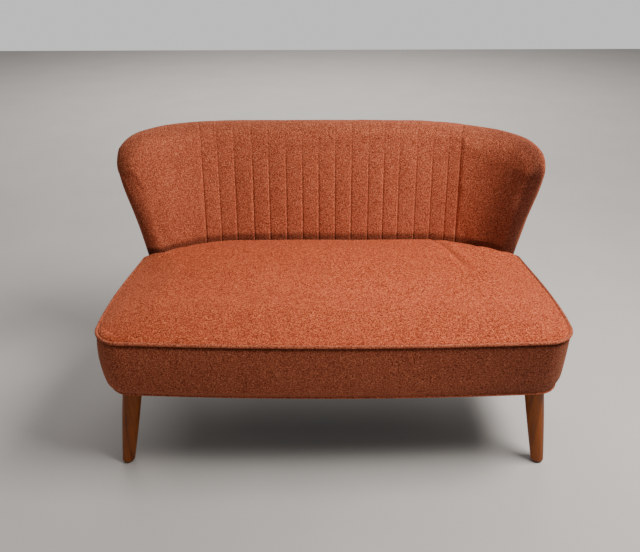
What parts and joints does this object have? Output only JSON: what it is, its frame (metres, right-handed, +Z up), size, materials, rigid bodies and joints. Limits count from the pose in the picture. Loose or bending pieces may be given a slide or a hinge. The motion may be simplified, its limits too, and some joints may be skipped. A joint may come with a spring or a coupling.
{
  "type": "two-seat sofa",
  "caption": "Small cocktail sofa with a channelled wing back, piped seat and splayed turned wooden legs.",
  "frame": {"origin": "on the floor, under the middle of the sofa's footprint", "axes": "+X to the right of someone looking at the front, +Y from the front towards the back, +Z up"},
  "size_m": [1.2512, 0.732, 0.791],
  "materials": {
    "cover_velvet": "short dense pile, rust coloured",
    "leg_wood": "stained, satin",
    "frame_beech": "planed, unfinished",
    "spring_steel": "oiled wire",
    "zinc_steel": "zinc plated",
    "glide_nylon": "matt",
    "hessian": "coarse jute",
    "foam": "open cell foam and wadding",
    "dust_cloth": "thin black cloth"
  },
  "bodies": {
    "root": {"front_rail": "frame_beech", "rear_rail": "frame_beech", "side_rail_left": "frame_beech", "side_rail_right": "frame_beech", "centre_brace": "frame_beech", "corner_block_front_left": "frame_beech", "corner_block_front_right": "frame_beech", "corner_block_rear_left": "frame_beech", "corner_block_rear_right": "frame_beech", "leg_front_left": "leg_wood", "leg_bolt_front_left": "zinc_steel", "glide_front_left": "glide_nylon", "leg_front_right": "leg_wood", "leg_bolt_front_right": "zinc_steel", "glide_front_right": "glide_nylon", "leg_rear_left": "leg_wood", "leg_bolt_rear_left": "zinc_steel", "glide_rear_left": "glide_nylon", "leg_rear_right": "leg_wood", "leg_bolt_rear_right": "zinc_steel", "glide_rear_right": "glide_nylon", "seat_spring_1": "spring_steel", "spring_clip_front_1": "zinc_steel", "spring_clip_rear_1": "zinc_steel", "seat_spring_2": "spring_steel", "spring_clip_front_2": "zinc_steel", "spring_clip_rear_2": "zinc_steel", "seat_spring_3": "spring_steel", "spring_clip_front_3": "zinc_steel", "spring_clip_rear_3": "zinc_steel", "seat_spring_4": "spring_steel", "spring_clip_front_4": "zinc_steel", "spring_clip_rear_4": "zinc_steel", "seat_spring_5": "spring_steel", "spring_clip_front_5": "zinc_steel", "spring_clip_rear_5": "zinc_steel", "seat_spring_6": "spring_steel", "spring_clip_front_6": "zinc_steel", "spring_clip_rear_6": "zinc_steel", "seat_hessian": "hessian", "seat_foam": "foam", "seat_top_cover": "cover_velvet", "seat_border": "cover_velvet", "seat_welt": "cover_velvet", "hem_welt": "cover_velvet", "dust_cover": "dust_cloth", "back_top_rail": "frame_beech", "wing_post_left": "frame_beech", "wing_post_right": "frame_beech", "back_centre_post": "frame_beech", "lower_back_rail_left": "frame_beech", "lower_back_rail_right": "frame_beech", "back_hessian": "hessian", "back_foam": "foam", "back_edge_roll": "foam", "inside_back_panel": "cover_velvet", "inside_wing_left": "cover_velvet", "inside_wing_right": "cover_velvet", "outside_back_cover": "cover_velvet"}
  },
  "joints": []
}
